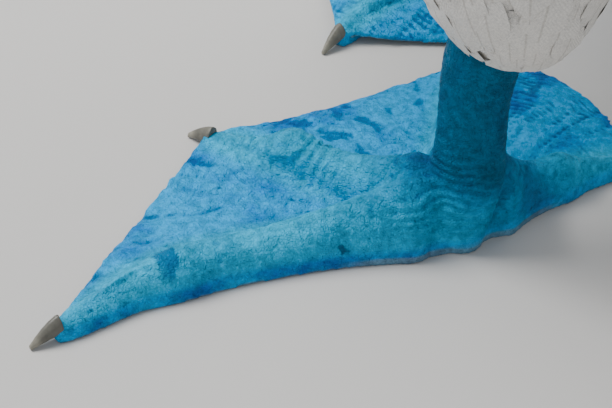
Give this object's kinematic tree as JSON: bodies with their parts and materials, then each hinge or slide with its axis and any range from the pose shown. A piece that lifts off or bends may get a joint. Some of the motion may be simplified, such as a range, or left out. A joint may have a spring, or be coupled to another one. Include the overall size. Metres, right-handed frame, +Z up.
{
  "type": "blue-footed booby",
  "caption": "Life-size blue-footed booby standing at rest on both webbed feet, wings folded, neck raised and looking ahead.",
  "frame": {"origin": "on the floor under the middle of the bird's box", "axes": "+X the way the bird faces, +Y its left, +Z up"},
  "size_m": [0.5502, 0.239, 0.505],
  "materials": {
    "streaked_plumage": "soft feathers",
    "white_plumage": "soft feathers",
    "brown_plumage": "smooth feathers",
    "foot_skin": "fine scaled skin",
    "bill_horn": "satin horn",
    "claw_horn": "satin horn",
    "eye": "gloss"
  },
  "bodies": {
    "root": {"head": "streaked_plumage", "bill_upper": "bill_horn", "bill_lower": "bill_horn", "neck": "streaked_plumage", "torso": "white_plumage", "tail": "brown_plumage", "left_eye": "eye", "left_wing": "brown_plumage", "left_thigh": "white_plumage", "left_tarsus": "foot_skin", "left_foot": "foot_skin", "left_claw_1": "claw_horn", "left_claw_2": "claw_horn", "left_claw_3": "claw_horn", "left_claw_4": "claw_horn", "right_eye": "eye", "right_wing": "brown_plumage", "right_thigh": "white_plumage", "right_tarsus": "foot_skin", "right_foot": "foot_skin", "right_claw_1": "claw_horn", "right_claw_2": "claw_horn", "right_claw_3": "claw_horn", "right_claw_4": "claw_horn"}
  },
  "joints": []
}
